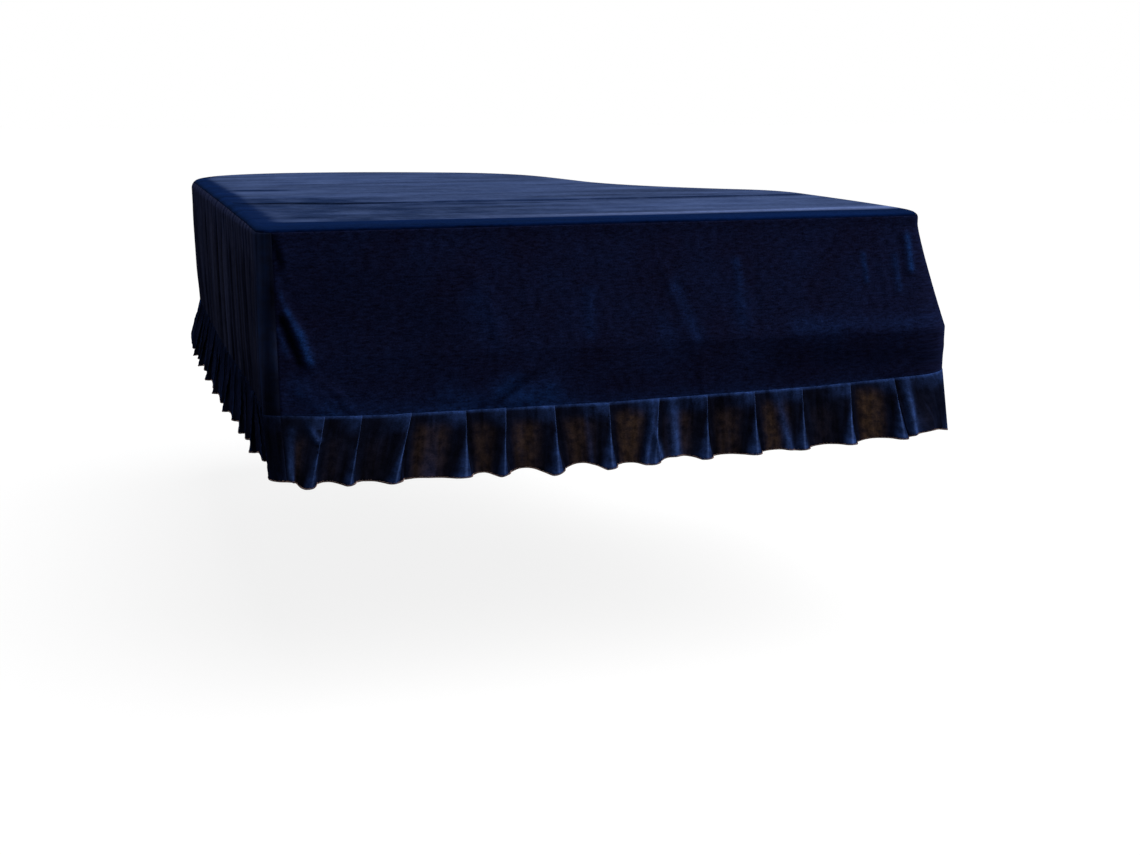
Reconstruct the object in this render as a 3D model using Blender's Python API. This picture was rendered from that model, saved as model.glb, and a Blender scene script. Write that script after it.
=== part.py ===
"""Fitted velvet cover for a grand piano, hollow: a flat top panel with a rounded shoulder, four hanging skirt
panels and a knife-pleated ruffle under each. Every piece is a thin sheet in the shape in which it hangs.

Metres, +Z up. The origin lies on the underside of the top panel. +Y runs from the front to the tail."""

import math
import random

import bpy
import numpy as np

# Thickness of the cloth and the gap between two pieces that are sewn together
SHEET = 0.0025
RUFFLE_SHEET = 0.002
SEAM_GAP = 0.0003

# Where the origin lies, from the left side and from the front edge of the top
ORIGIN_X = 0.76
ORIGIN_Y = 0.95

# Heights are given as drops below the upper face of the top: the level seam between the top and the skirts,
# which lies on the rolled edge, the level where the roll is over, and the ridge of the skirts
TOP_SEAM_DROP = 0.009
SHOULDER_DROP = 0.030
RIDGE_DROP = 0.270
RUFFLE_HEIGHT = 0.137

# The outline of the top seen from above, anticlockwise. x is measured from the left side, y from the front
# and heading in degrees. shoulder is the radius of the rolled edge. ridge, seam and hem say how far the cloth
# stands out from the outline at the ridge of the skirt, at the ruffle's seam and at the hem. drop is the
# drop of that seam, and sway how far the hem swings along the outline.
PLACE, X, Y, HEADING, SHOULDER, RIDGE, SEAM, HEM, SEAM_DROP, SWAY = range(10)
OUTLINE = (
    # place, x, y, heading, shoulder, ridge, seam, hem, drop, sway
    ("front left", 0.030, 0.000, 0, 0.012, 0.026, 0.034, 0.046, 0.386, -0.004),
    ("front first pleat", 0.105, 0.000, 0, 0.012, 0.030, 0.036, 0.056, 0.392, -0.030),
    ("front inner left", 0.230, 0.000, 0, 0.012, 0.036, 0.038, 0.058, 0.397, -0.024),
    ("front middle", 0.760, 0.000, 0, 0.012, 0.042, 0.040, 0.060, 0.400, 0.004),
    ("front inner right", 1.250, 0.000, 0, 0.012, 0.052, 0.044, 0.062, 0.397, 0.010),
    ("front right", 1.508, 0.000, 0, 0.013, 0.060, 0.055, 0.070, 0.386, 0.014),
    ("right corner", 1.532, 0.022, 68, 0.016, 0.070, 0.078, 0.098, 0.380, 0.006),
    ("right side front", 1.568, 0.160, 86, 0.024, 0.046, 0.052, 0.078, 0.386, 0.000),
    ("right side back", 1.588, 0.710, 90, 0.028, 0.030, 0.040, 0.068, 0.395, 0.000),
    ("bend outer", 1.506, 0.932, 138, 0.028, 0.024, 0.036, 0.066, 0.395, 0.000),
    ("bend inner", 1.198, 1.460, 98, 0.028, 0.010, 0.012, 0.036, 0.395, 0.000),
    ("tail right", 1.148, 1.810, 102, 0.028, 0.012, 0.018, 0.044, 0.395, 0.000),
    ("tail shoulder", 0.912, 2.145, 152, 0.028, 0.010, 0.020, 0.048, 0.395, 0.000),
    ("tail middle", 0.400, 2.290, 180, 0.028, 0.006, 0.010, 0.036, 0.395, 0.000),
    ("tail left", 0.058, 2.115, 240, 0.028, 0.000, -0.002, 0.028, 0.395, 0.000),
    ("left side back", 0.000, 1.920, 270, 0.028, -0.004, -0.010, 0.026, 0.398, 0.000),
    ("left side middle", 0.000, 1.000, 270, 0.028, -0.002, -0.004, 0.020, 0.395, 0.000),
    ("left side front", 0.000, 0.300, 270, 0.024, -0.004, -0.008, -0.006, 0.390, 0.000),
    ("left corner", 0.000, 0.030, 270, 0.016, 0.000, -0.002, -0.006, 0.386, -0.002),
)

# The skirt panels: where each starts and ends on the outline, the pitch and depth of its gathers, its rows
# from the roll's end to the ruffle, the seed of its unevenness and the pleats of the ruffle under it
PANELS = (
    # name, first place, last place, pitch, depth, rows, seed, pleats
    ("front", "front left", "right corner", None, 0.0, 8, 1, 14),
    ("right", "right corner", "tail right", 0.085, 0.004, 4, 2, 19),
    ("tail", "tail right", "left side back", 0.085, 0.004, 4, 3, 12),
    ("left", "left side back", "front left", 0.072, 0.004, 5, 4, 17),
)

# Columns of the flat front panel: close together near its two corners, where it bends and creases
FRONT_CORNER_REACH = 0.125
FRONT_CORNER_COLUMNS = 9
FRONT_MIDDLE_COLUMNS = 17

# Soft creases pressed into the front panel: from and to as x and drop, the width and the height of each
CREASES = (
    # x1, drop1, x2, drop2, width, height
    (0.036, 0.110, 0.105, 0.262, 0.016, 0.007),
    (0.034, 0.190, 0.072, 0.300, 0.014, -0.004),
    (0.520, 0.392, 0.580, 0.325, 0.018, 0.004),
    (1.455, 0.050, 1.475, 0.170, 0.018, 0.005),
)

# One knife pleat from its hidden start to its folded edge: along as a share of the pitch, and out as a share
# of the depth
PLEAT_SHARE = (0.00, 0.12, 0.42, 0.78, 0.93)
PLEAT_OUT = (-0.45, -0.30, 0.00, 0.50, 0.62)
PLEAT_DEPTH_SEAM = 0.003
PLEAT_DEPTH_HEM = 0.026
PLEAT_FADE = 0.045
FOLD_HANGS_LOWER = 0.006

# Widths of the front pleats from left to right
FRONT_PLEATS = (
    *(0.074, 0.076, 0.100, 0.111, 0.113, 0.113, 0.124),
    *(0.114, 0.120, 0.116, 0.125, 0.120, 0.120, 0.085),
)
RUFFLE_ROWS = (0.0, 0.45, 1.0)

# The gathers and creases fade in below the shoulder and out above the seam, as shares of the skirt's height,
# and the creases also fade towards the panel's two ends, in metres
GATHER_FADE_IN = 0.35
CREASE_FADE_IN = 0.15
CREASE_FADE_OUT = 0.10
CREASE_END_FADE = 0.020

# Grid of the top panel, and the groove that the cloth sinks into across it
TOP_COLUMNS = 18
TOP_ROWS_FRONT = 4
TOP_ROWS_BACK = 12
GROOVE_Y_LEFT = 0.755
GROOVE_Y_RIGHT = 0.660
GROOVE_WIDTH = 0.022
GROOVE_DEPTH = 0.004

# Rings of the rolled edge on the top panel, and the drop of the one row that the skirts have on it
TOP_ROLL_STEPS = 2
SKIRT_ROLL_DROP = 0.017

VELVET_NAVY = (0.006, 0.012, 0.055, 1.0)
VELVET_ROUGHNESS = 0.85

# Points on each arc of the outline, and the half chord that its outward direction is read from
SAMPLES_PER_ARC = 40
CHORD = 0.004


def arc_points(start, end):
    """Points of a Bezier arc from one row of the outline to the next, without its last point."""
    turn = math.radians((end[HEADING] - start[HEADING] + 180) % 360 - 180)
    chord = math.hypot(end[X] - start[X], end[Y] - start[Y])
    if abs(turn) > 1e-6:
        handle = chord * 2 / 3 * math.tan(turn / 4) / math.sin(turn / 2)
    else:
        handle = chord / 3
    a = np.array((start[X], start[Y]))
    d = np.array((end[X], end[Y]))
    leave = math.radians(start[HEADING])
    arrive = math.radians(end[HEADING])
    b = a + handle * np.array((math.cos(leave), math.sin(leave)))
    c = d - handle * np.array((math.cos(arrive), math.sin(arrive)))
    t = np.linspace(0, 1, SAMPLES_PER_ARC, endpoint=False)[:, None]
    return (1 - t) ** 3 * a + 3 * t * (1 - t) ** 2 * b + 3 * t * t * (1 - t) * c + t**3 * d


class Outline:
    """The closed outline by its running length."""

    def __init__(self):
        closed = OUTLINE + OUTLINE[:1]
        arcs = [arc_points(a, b) for a, b in zip(closed, closed[1:])]
        points = np.concatenate(arcs + [arcs[0][:1]])
        steps = np.hypot(*np.diff(points, axis=0).T)
        self.points = points
        self.run = np.concatenate([[0.0], np.cumsum(steps)])
        self.length = self.run[-1]
        self.places = {row[PLACE]: self.run[i * SAMPLES_PER_ARC] for i, row in enumerate(OUTLINE)}
        self.knots = np.array([*self.places.values(), self.length])

    def at(self, s):
        """Points of the outline, x from the left side and y from the front."""
        s = np.mod(s, self.length)
        return np.stack([np.interp(s, self.run, self.points[:, k]) for k in (0, 1)], axis=-1)

    def outward(self, s):
        """Unit vectors out of the outline."""
        along = self.at(np.asarray(s) + CHORD) - self.at(np.asarray(s) - CHORD)
        along /= np.linalg.norm(along, axis=-1, keepdims=True)
        return np.stack([along[..., 1], -along[..., 0]], axis=-1)

    def straight_value(self, column, s):
        """A column of the table at running length s, in straight runs from one row to the next."""
        values = [row[column] for row in OUTLINE + OUTLINE[:1]]
        return np.interp(np.mod(s, self.length), self.knots, values)

    def value(self, column, s):
        """A column of the table at running length s, eased from one row to the next."""
        s = np.mod(s, self.length)
        values = np.array([row[column] for row in OUTLINE + OUTLINE[:1]])
        index = np.clip(np.searchsorted(self.knots, s, side="right") - 1, 0, len(values) - 2)
        share = smooth((s - self.knots[index]) / (self.knots[index + 1] - self.knots[index]))
        return values[index] * (1 - share) + values[index + 1] * share

    def span(self, first, last):
        """The running lengths at which a panel starts and ends; the end may pass the outline's start."""
        start = self.places[first]
        end = self.places[last]
        return start, end if end > start else end + self.length

    def run_at_y(self, place, y):
        """The running length at which the side that leaves a place reaches y."""
        start = self.places[place]
        stretch = np.linspace(start, start + 1.0, 501)
        return stretch[np.abs(self.at(stretch)[:, 1] - y).argmin()]

    def with_knots(self, columns):
        """The columns of a wall with the outline's own places between them added."""
        knots = np.concatenate([self.knots, self.knots + self.length])
        inside = knots[(knots > columns[0] + 0.001) & (knots < columns[-1] - 0.001)]
        far = [knot for knot in inside if np.abs(columns - knot).min() > 0.0005]
        return np.sort(np.concatenate([columns, far]))


def smooth(t):
    t = np.clip(t, 0, 1)
    return t * t * (3 - 2 * t)


def eased(s, places, heights):
    """Heights between stations, level at each station."""
    index = np.clip(np.searchsorted(places, s, side="right") - 1, 0, len(places) - 2)
    share = smooth((s - places[index]) / (places[index + 1] - places[index]))
    return heights[index] * (1 - share) + heights[index + 1] * share


def roll(outline, s, drop, depth):
    """How far a face of the rolled edge lies inside the outline at a drop. depth is how deep in the cloth."""
    radius = outline.value(SHOULDER, s)
    cosine = np.clip((radius - drop) / (radius - depth), 0, 1)
    return radius - (radius - depth) * np.sqrt(1 - cosine**2)


def lean(outline, s, drop):
    """How far the skirt stands out from the outline at a drop, below the roll."""
    ridge = outline.value(RIDGE, s)
    seam = outline.value(SEAM, s)
    seam_drop = outline.straight_value(SEAM_DROP, s)
    above = ridge * np.clip((drop - SHOULDER_DROP) / (RIDGE_DROP - SHOULDER_DROP), 0, 1) ** 1.15
    below = smooth((drop - RIDGE_DROP) / (seam_drop - RIDGE_DROP))
    return above + (seam - ridge) * below


def gather_stations(start, end, pitch, seed):
    """Running lengths of the ridges and troughs of uneven gathers, with the height of each from -1 to 1."""
    draw = random.Random(seed)
    count = max(2, round((end - start) / pitch))
    widths = np.array([draw.uniform(0.7, 1.3) for _ in range(2 * count)])
    places = start + (end - start) * np.concatenate([[0.0], np.cumsum(widths) / widths.sum()])
    heights = [draw.uniform(0.5, 1.0) * (1 if i % 2 else -1) for i in range(2 * count + 1)]
    heights[0] = 0.0
    heights[-1] = 0.0
    return places, np.array(heights)


def crease_height(x, drop):
    """The height of the soft creases at a place on the front panel."""
    total = np.zeros(np.broadcast(x, drop).shape)
    for x1, drop1, x2, drop2, width, height in CREASES:
        along = np.array((x2 - x1, drop2 - drop1))
        length = np.hypot(*along)
        along /= length
        run = (x - x1) * along[0] + (drop - drop1) * along[1]
        side = (x - x1) * along[1] - (drop - drop1) * along[0]
        past = np.maximum(0, np.maximum(-run, run - length))
        total += height * np.exp(-(side**2 + past**2) / (2 * width**2))
    return total


def in_part_frame(xy, drop):
    """Points of the part from x, y and the drop below the upper face of the top."""
    drop = np.broadcast_to(drop, xy.shape[:-1])
    return np.stack([xy[..., 0] - ORIGIN_X, xy[..., 1] - ORIGIN_Y, SHEET - drop], axis=-1)


def plan_normals(grid, ends):
    """Level unit vectors out of a wall whose columns run along the outline. Those of its two ends are given."""
    along = np.gradient(grid[..., :2], axis=1)
    along /= np.linalg.norm(along, axis=-1, keepdims=True)
    level = np.zeros(grid.shape[:-1])
    normals = np.stack([along[..., 1], -along[..., 0], level], axis=-1)
    normals[:, 0, :2] = ends[0]
    normals[:, -1, :2] = ends[1]
    return normals


def add_object(name, points, faces):
    """One named object with its own velvet."""
    mesh = bpy.data.meshes.new(name)
    mesh.from_pydata([tuple(p) for p in points], [], faces)
    mesh.update()
    mesh.shade_smooth()
    mesh.set_sharp_from_angle(angle=math.radians(50))
    piece = bpy.data.objects.new(name, mesh)
    bpy.context.scene.collection.objects.link(piece)
    velvet = bpy.data.materials.new(name + " velvet")
    velvet.use_nodes = True
    shader = velvet.node_tree.nodes["Principled BSDF"]
    shader.inputs["Base Color"].default_value = VELVET_NAVY
    shader.inputs["Roughness"].default_value = VELVET_ROUGHNESS
    shader.inputs["Metallic"].default_value = 0.0
    shader.inputs["Sheen Weight"].default_value = 0.6
    velvet.diffuse_color = VELVET_NAVY
    piece.data.materials.append(velvet)
    return piece


def add_wall(name, outer, ends, thickness):
    """A hanging sheet from its outer face: rows from the top down, columns anticlockwise along the outline.
    thickness is measured level, at each point."""
    inner = outer - plan_normals(outer, ends) * thickness[..., None]
    rows, columns = outer.shape[:2]
    points = np.concatenate([outer.reshape(-1, 3), inner.reshape(-1, 3)])
    back = rows * columns
    faces = []
    for i in range(rows - 1):
        for j in range(columns - 1):
            a = i * columns + j
            b = a + columns
            faces.append((a, b, b + 1, a + 1))
            faces.append((back + a, back + a + 1, back + b + 1, back + b))
    for j in range(columns - 1):
        low = (rows - 1) * columns + j
        faces.append((j, j + 1, back + j + 1, back + j))
        faces.append((low, back + low, back + low + 1, low + 1))
    for i in range(rows - 1):
        left = i * columns
        right = left + columns - 1
        faces.append((left, back + left, back + left + columns, left + columns))
        faces.append((right, right + columns, back + right + columns, back + right))
    return add_object(name, points, faces)


def skirt_columns(outline, start, end, pitch, seed):
    """Running lengths of a skirt's columns and the gather height at each."""
    if pitch is None:
        near_corner = np.linspace(start, start + FRONT_CORNER_REACH, FRONT_CORNER_COLUMNS, endpoint=False)
        middle = np.linspace(start + FRONT_CORNER_REACH, end - FRONT_CORNER_REACH, FRONT_MIDDLE_COLUMNS)
        far_corner = end - (near_corner[::-1] - start)
        columns = outline.with_knots(np.concatenate([near_corner, middle, far_corner]))
        return columns, np.zeros(len(columns))
    places, heights = gather_stations(start, end, pitch, seed)
    columns = outline.with_knots(np.sort(np.concatenate([places, (places[1:] + places[:-1]) / 2])))
    return columns, eased(columns, places, heights)


def add_skirt(outline, name, start, end, pitch, depth, rows, seed):
    """One skirt panel, from just under the top's seam on the rolled edge to just above the ruffle."""
    inside = 0.5 * SEAM_GAP
    columns, gathers = skirt_columns(outline, start + inside, end - inside, pitch, seed)
    low = outline.straight_value(SEAM_DROP, columns)
    share = np.concatenate([[0.0, 0.0], np.linspace(0, 1, rows)])[:, None]
    drop = SHOULDER_DROP * (1 - share) + (low - inside) * share
    drop[0] = TOP_SEAM_DROP + SEAM_GAP
    drop[1] = SKIRT_ROLL_DROP
    face = roll(outline, columns, drop, 0.0)
    thickness = roll(outline, columns, drop, SHEET) - face
    out = lean(outline, columns, drop) - face + depth * gathers * smooth(share / GATHER_FADE_IN)
    if pitch is None:
        x = outline.at(columns)[:, 0]
        from_ends = smooth((columns - start) / CREASE_END_FADE) * smooth((end - columns) / CREASE_END_FADE)
        from_edges = smooth(share / CREASE_FADE_IN) * smooth((1 - share) / CREASE_FADE_OUT)
        out += crease_height(x, drop) * from_ends * from_edges
    plan = outline.at(columns) + outline.outward(columns) * out[..., None]
    ends = outline.outward([start, end])
    return add_wall("skirt_" + name, in_part_frame(plan, drop), ends, thickness)


def add_ruffle(outline, name, start, end, pleats, seed):
    """One knife-pleated strip, from just under its skirt to the hem."""
    draw = random.Random(seed + 10)
    inside = 0.5 * SEAM_GAP
    widths = np.array([draw.uniform(0.92, 1.08) for _ in range(pleats)])
    if name == "front":
        widths = np.array(FRONT_PLEATS)
    before = np.concatenate([[0.0], np.cumsum(widths) / widths.sum()])
    edges = start + inside + (end - start - 2 * inside) * before
    stations = [a + (b - a) * share for a, b in zip(edges, edges[1:]) for share in PLEAT_SHARE]
    stations = np.array(stations + [edges[-1]])
    deep = [draw.uniform(0.75, 1.15) for _ in range(pleats)]
    folds = np.array([deep[i] * out for i in range(pleats) for out in PLEAT_OUT] + [0.0])
    folds *= smooth((stations - start) / PLEAT_FADE) * smooth((end - stations) / PLEAT_FADE)
    columns = outline.with_knots(stations)
    fold = np.interp(columns, stations, folds)
    low = outline.straight_value(SEAM_DROP, columns)
    share = np.array(RUFFLE_ROWS)[:, None]
    height = RUFFLE_HEIGHT + FOLD_HANGS_LOWER * fold
    drop = low + inside + (height - inside) * share
    out_seam = outline.value(SEAM, columns)
    out_hem = outline.value(HEM, columns)
    depth = PLEAT_DEPTH_SEAM + (PLEAT_DEPTH_HEM - PLEAT_DEPTH_SEAM) * share
    out = out_seam + (out_hem - out_seam) * share + fold * depth
    swung = columns + outline.value(SWAY, columns) * share
    plan = outline.at(swung) + outline.outward(swung) * out[..., None]
    edge_places = np.array([start, end]) + outline.value(SWAY, [start, end]) * share
    ends = outline.outward(edge_places)
    thickness = np.full(out.shape, RUFFLE_SHEET)
    return add_wall("ruffle_" + name, in_part_frame(plan, drop), (ends[:, 0], ends[:, 1]), thickness)


def groove_rows(groove_share, half_share):
    """The grid rows of the top as shares of the way from the front to the tail, close together at the groove."""
    before = np.linspace(0, groove_share - half_share, TOP_ROWS_FRONT)
    after = np.linspace(groove_share + half_share, 1, TOP_ROWS_BACK)
    return np.concatenate([before, [groove_share], after])


def top_panel_edge(outline):
    """The four sides of the top's grid as running lengths: front, right, tail and left, with the right and the
    left from the front back, and the front and the tail from left to right."""
    corner_left = 0.5 * (outline.places["left corner"] - outline.length)
    corner_right = 0.5 * (outline.places["front right"] + outline.places["right corner"])
    corner_tail = 0.5 * (outline.places["tail right"] + outline.places["tail shoulder"])
    corner_back = outline.places["tail left"]
    before_left = outline.length + corner_left
    columns = np.linspace(0, 1, TOP_COLUMNS + 1)
    groove_right = outline.run_at_y("right side front", GROOVE_Y_RIGHT)
    groove_left = outline.run_at_y("left side middle", GROOVE_Y_LEFT)
    right_share = (groove_right - corner_right) / (corner_tail - corner_right)
    left_share = (before_left - groove_left) / (before_left - corner_back)
    half = 0.5 * GROOVE_WIDTH / (corner_tail - corner_right)
    right = corner_right + groove_rows(right_share, half) * (corner_tail - corner_right)
    left = before_left - groove_rows(left_share, half) * (before_left - corner_back)
    front = corner_left + columns * (corner_right - corner_left)
    tail = corner_back + columns * (corner_tail - corner_back)
    return front, right, tail, left


def inset(outline, s):
    """The outline moved in by the shoulder's radius."""
    return outline.at(s) - outline.outward(s) * outline.value(SHOULDER, s)[..., None]


def patch(front, right, tail, left, u, w):
    """A grid of points stretched between four sides."""
    u = u[None, :, None]
    w = w[:, None, None]
    across = (1 - w) * front[None] + w * tail[None]
    down = (1 - u) * left[:, None] + u * right[:, None]
    front_corners = (1 - u) * front[0] + u * front[-1]
    tail_corners = (1 - u) * tail[0] + u * tail[-1]
    return across + down - (1 - w) * front_corners - w * tail_corners


def add_top_panel(outline):
    """The flat top with its groove, and the upper part of the rolled edge all round it, down to a level seam."""
    front, right, tail, left = top_panel_edge(outline)
    u = np.linspace(0, 1, len(front))
    w = np.linspace(0, 1, len(right))
    flat = patch(*[inset(outline, side) for side in (front, right, tail, left)], u, w)
    rows, columns = flat.shape[:2]
    drop = np.zeros((rows, columns))
    drop[TOP_ROWS_FRONT, 1:-1] = GROOVE_DEPTH
    upper = in_part_frame(flat, drop)
    lower = in_part_frame(flat, drop + SHEET)
    ring = [(0, j) for j in range(columns)]
    ring += [(i, columns - 1) for i in range(1, rows)]
    ring += [(rows - 1, j) for j in range(columns - 2, -1, -1)]
    ring += [(i, 0) for i in range(rows - 2, 0, -1)]
    edge = np.concatenate([front, right[1:], tail[-2::-1], left[-2:0:-1]])
    radius = outline.value(SHOULDER, edge)
    centre = outline.at(edge)
    out = outline.outward(edge)
    points = [*upper.reshape(-1, 3), *lower.reshape(-1, 3)]
    below = rows * columns
    faces = []
    for i in range(rows - 1):
        for j in range(columns - 1):
            a = i * columns + j
            faces.append((a, a + 1, a + columns + 1, a + columns))
            faces.append((below + a, below + a + columns, below + a + columns + 1, below + a + 1))
    outer_rings = [[i * columns + j for i, j in ring]]
    inner_rings = [[below + i * columns + j for i, j in ring]]
    for step in range(1, TOP_ROLL_STEPS + 1):
        for rings, shell in ((outer_rings, radius), (inner_rings, radius - SHEET)):
            turned = np.arccos((radius - TOP_SEAM_DROP) / shell) * step / TOP_ROLL_STEPS
            plan = centre - out * (radius - shell * np.sin(turned))[:, None]
            rings.append(list(range(len(points), len(points) + len(edge))))
            points.extend(in_part_frame(plan, radius - shell * np.cos(turned)))
    count = len(edge)
    for k in range(TOP_ROLL_STEPS):
        for a in range(count):
            b = (a + 1) % count
            faces.append((outer_rings[k][a], outer_rings[k + 1][a], outer_rings[k + 1][b], outer_rings[k][b]))
            faces.append((inner_rings[k][a], inner_rings[k][b], inner_rings[k + 1][b], inner_rings[k + 1][a]))
    for a in range(count):
        b = (a + 1) % count
        faces.append((outer_rings[-1][a], inner_rings[-1][a], inner_rings[-1][b], outer_rings[-1][b]))
    return add_object("top_panel", points, faces)


def main():
    for old in list(bpy.data.objects):
        bpy.data.objects.remove(old)
    outline = Outline()
    add_top_panel(outline)
    for name, first, last, pitch, depth, rows, seed, pleats in PANELS:
        start, end = outline.span(first, last)
        add_skirt(outline, name, start, end, pitch, depth, rows, seed)
        add_ruffle(outline, name, start, end, pleats, seed)


main()
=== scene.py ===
"""Looks of a fitted grand piano cover in navy velvet: a flat top with a rolled shoulder, four hanging
skirts and a knife-pleated ruffle under each of them, with an overlocked hem.

Metres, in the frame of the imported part: the origin lies on the underside of the top, +Y runs from the
front to the tail and +X from the straight side to the curved side."""

import math
import random

import bpy
import numpy as np
from mathutils import Matrix, Vector

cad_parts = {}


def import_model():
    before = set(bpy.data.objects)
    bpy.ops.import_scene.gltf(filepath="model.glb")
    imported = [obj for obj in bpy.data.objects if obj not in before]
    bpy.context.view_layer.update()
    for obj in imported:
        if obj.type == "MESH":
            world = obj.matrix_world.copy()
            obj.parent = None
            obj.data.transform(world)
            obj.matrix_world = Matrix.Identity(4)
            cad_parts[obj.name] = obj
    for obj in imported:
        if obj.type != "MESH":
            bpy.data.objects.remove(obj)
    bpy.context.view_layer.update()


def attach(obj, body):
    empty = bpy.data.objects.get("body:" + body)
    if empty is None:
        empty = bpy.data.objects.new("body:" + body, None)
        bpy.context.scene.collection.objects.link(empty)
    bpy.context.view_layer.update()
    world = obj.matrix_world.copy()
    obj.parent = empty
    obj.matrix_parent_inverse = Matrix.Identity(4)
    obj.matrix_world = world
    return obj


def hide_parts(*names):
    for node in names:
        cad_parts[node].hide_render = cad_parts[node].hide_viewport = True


# Where the origin lies, from the left side and from the front edge, and the thickness of the solid sheets
ORIGIN_X = 0.76
ORIGIN_Y = 0.95
SHEET = 0.0025

# Heights are drops below the upper face of the top. Its seam with the skirts lies on its rolled edge.
TOP_SEAM_DROP = 0.009
SHOULDER_DROP = 0.030
RIDGE_DROP = 0.270
RUFFLE_HEIGHT = 0.137
TOP_ABOVE_FLOOR = 1.036

# Real thickness of the cloth
VELVET = 0.0012
RUFFLE_VELVET = 0.0008
SEAM_GAP = 0.0001

# The outline of the top seen from above, anticlockwise, in millimetres and degrees. x is measured from the
# left side and y from the front. shoulder is the radius of the rolled edge. ridge, seam and hem say how far
# the cloth stands out from the outline at the ridge of the skirt, at the ruffle's seam and at the hem. drop
# is the drop of that seam, and sway how far the hem swings along the outline.
PLACE, X, Y, HEADING, SHOULDER, RIDGE, SEAM, HEM, SEAM_DROP, SWAY = range(10)
OUTLINE_ROWS = (
    # place, x, y, heading, shoulder, ridge, seam, hem, drop, sway
    ("front left", 30, 0, 0, 12, 26, 34, 46, 386, 5),
    ("front first pleat", 105, 0, 0, 12, 30, 36, 56, 392, -30),
    ("front inner left", 230, 0, 0, 12, 36, 38, 58, 397, -24),
    ("front middle", 760, 0, 0, 12, 42, 40, 60, 400, 4),
    ("front inner right", 1250, 0, 0, 12, 52, 44, 62, 393, 10),
    ("front right", 1508, 0, 0, 13, 60, 55, 70, 380, 14),
    ("right corner", 1532, 22, 68, 16, 76, 75, 98, 376, 6),
    ("right side front", 1568, 160, 86, 24, 46, 52, 78, 386, 0),
    ("right side back", 1588, 710, 90, 28, 30, 40, 68, 395, 0),
    ("bend outer", 1506, 932, 138, 28, 24, 36, 66, 395, 0),
    ("bend inner", 1198, 1460, 98, 28, 10, 12, 36, 395, 0),
    ("tail right", 1148, 1810, 102, 28, 12, 18, 44, 395, 0),
    ("tail shoulder", 912, 2145, 152, 28, 10, 20, 48, 395, 0),
    ("tail middle", 400, 2290, 180, 28, 6, 10, 36, 395, 0),
    ("tail left", 58, 2115, 240, 28, 0, -2, 28, 395, 0),
    ("left side back", 0, 1920, 270, 28, -4, -10, 26, 398, 0),
    ("left side middle", 0, 1000, 270, 28, -2, -4, 20, 395, 0),
    ("left side front", 0, 300, 270, 24, -4, -8, -2, 390, 0),
    ("left corner", 0, 30, 270, 16, 0, -2, -24, 386, -2),
)
OUTLINE = [[v if k in (PLACE, HEADING) else v / 1000 for k, v in enumerate(row)] for row in OUTLINE_ROWS]

# The panels: where each starts and ends on the outline, the pitch and depth of its gathers, the seed of its
# unevenness, the pleats of the ruffle under it and the width of a cell of its mesh
PANELS = (
    # name, first place, last place, pitch, depth, seed, pleats, cell
    ("front", "front left", "right corner", None, 0.0, 1, 14, 0.005),
    ("right", "right corner", "tail right", 0.085, 0.004, 2, 19, 0.007),
    ("tail", "tail right", "left side back", 0.085, 0.004, 3, 12, 0.007),
    ("left", "left side back", "front left", 0.072, 0.004, 4, 17, 0.005),
)

# Soft creases and ridges of the front panel, in millimetres: from and to as x and drop, width and height
FRONT_CREASES = (
    # x1, drop1, x2, drop2, width, height
    (32, 118, 52, 180, 6, 4),
    (52, 180, 72, 220, 8, 7),
    (72, 220, 90, 276, 10, 8),
    (42, 195, 70, 275, 7, -5),
    (34, 215, 52, 268, 5, 3),
    (34, 18, 44, 75, 5, -4),
    (46, 30, 62, 105, 6, 2),
    (478, 392, 572, 326, 6, -5),
    (470, 372, 560, 318, 12, 4),
    (512, 398, 610, 350, 14, 4),
    (449, 96, 502, 248, 10, 3),
    (470, 150, 478, 250, 5, -2),
    (560, 120, 566, 170, 6, 2),
    (664, 185, 664, 250, 5, 2.2),
    (705, 140, 705, 230, 6, 2.4),
    (878, 100, 940, 262, 8, 2.8),
    (905, 140, 935, 255, 6, -1.8),
    (1058, 100, 1062, 215, 7, 2.6),
    (1094, 150, 1100, 235, 8, -2),
    (966, 305, 967, 397, 8, 2.2),
    (1377, 95, 1380, 150, 5, 2.8),
    (1418, 100, 1424, 160, 5, 2.2),
    (1453, 95, 1458, 180, 6, 3),
    (1484, 50, 1492, 132, 9, 6),
    (1435, 380, 1522, 318, 8, 4),
    (1190, 256, 1500, 262, 14, 3.6),
    (940, 262, 1190, 262, 14, 2),
    (150, 345, 185, 392, 7, 2.6),
    (70, 330, 130, 392, 10, 3),
    (110, 318, 150, 345, 6, 2),
    (105, 335, 140, 362, 5, 2),
)

# Where the front panel is painted bluer, with painted highlights on the upper flanks of its creases and with
# bluer patches of pile, and where painted shade darkens it in creases and below ridges: runs as above, with
# the share at the middle of each in thousandths in place of a height
FRONT_HIGHLIGHT_AND_BLUE = (
    # x1, drop1, x2, drop2, width, share
    (40, 130, 54, 172, 4, 300),
    (54, 172, 76, 218, 5, 600),
    (76, 218, 94, 275, 7, 800),
    (32, 205, 48, 258, 4, 250),
    (70, 330, 130, 385, 22, 250),
    (140, 385, 460, 392, 22, 250),
    (380, 365, 420, 385, 26, 150),
    (500, 360, 530, 338, 16, 450),
    (545, 376, 610, 368, 20, 550),
    (500, 398, 640, 396, 14, 250),
    (452, 160, 494, 262, 22, 140),
    (705, 150, 705, 240, 12, 200),
    (905, 150, 955, 262, 12, 220),
    (870, 215, 885, 262, 14, 140),
    (1056, 100, 1062, 140, 8, 350),
    (1060, 170, 1068, 240, 12, 220),
    (1200, 250, 1510, 250, 16, 160),
    (1374, 95, 1378, 150, 5, 450),
    (1455, 100, 1460, 170, 6, 400),
    (1490, 55, 1494, 128, 6, 800),
    (650, 392, 1400, 390, 12, 120),
)
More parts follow.
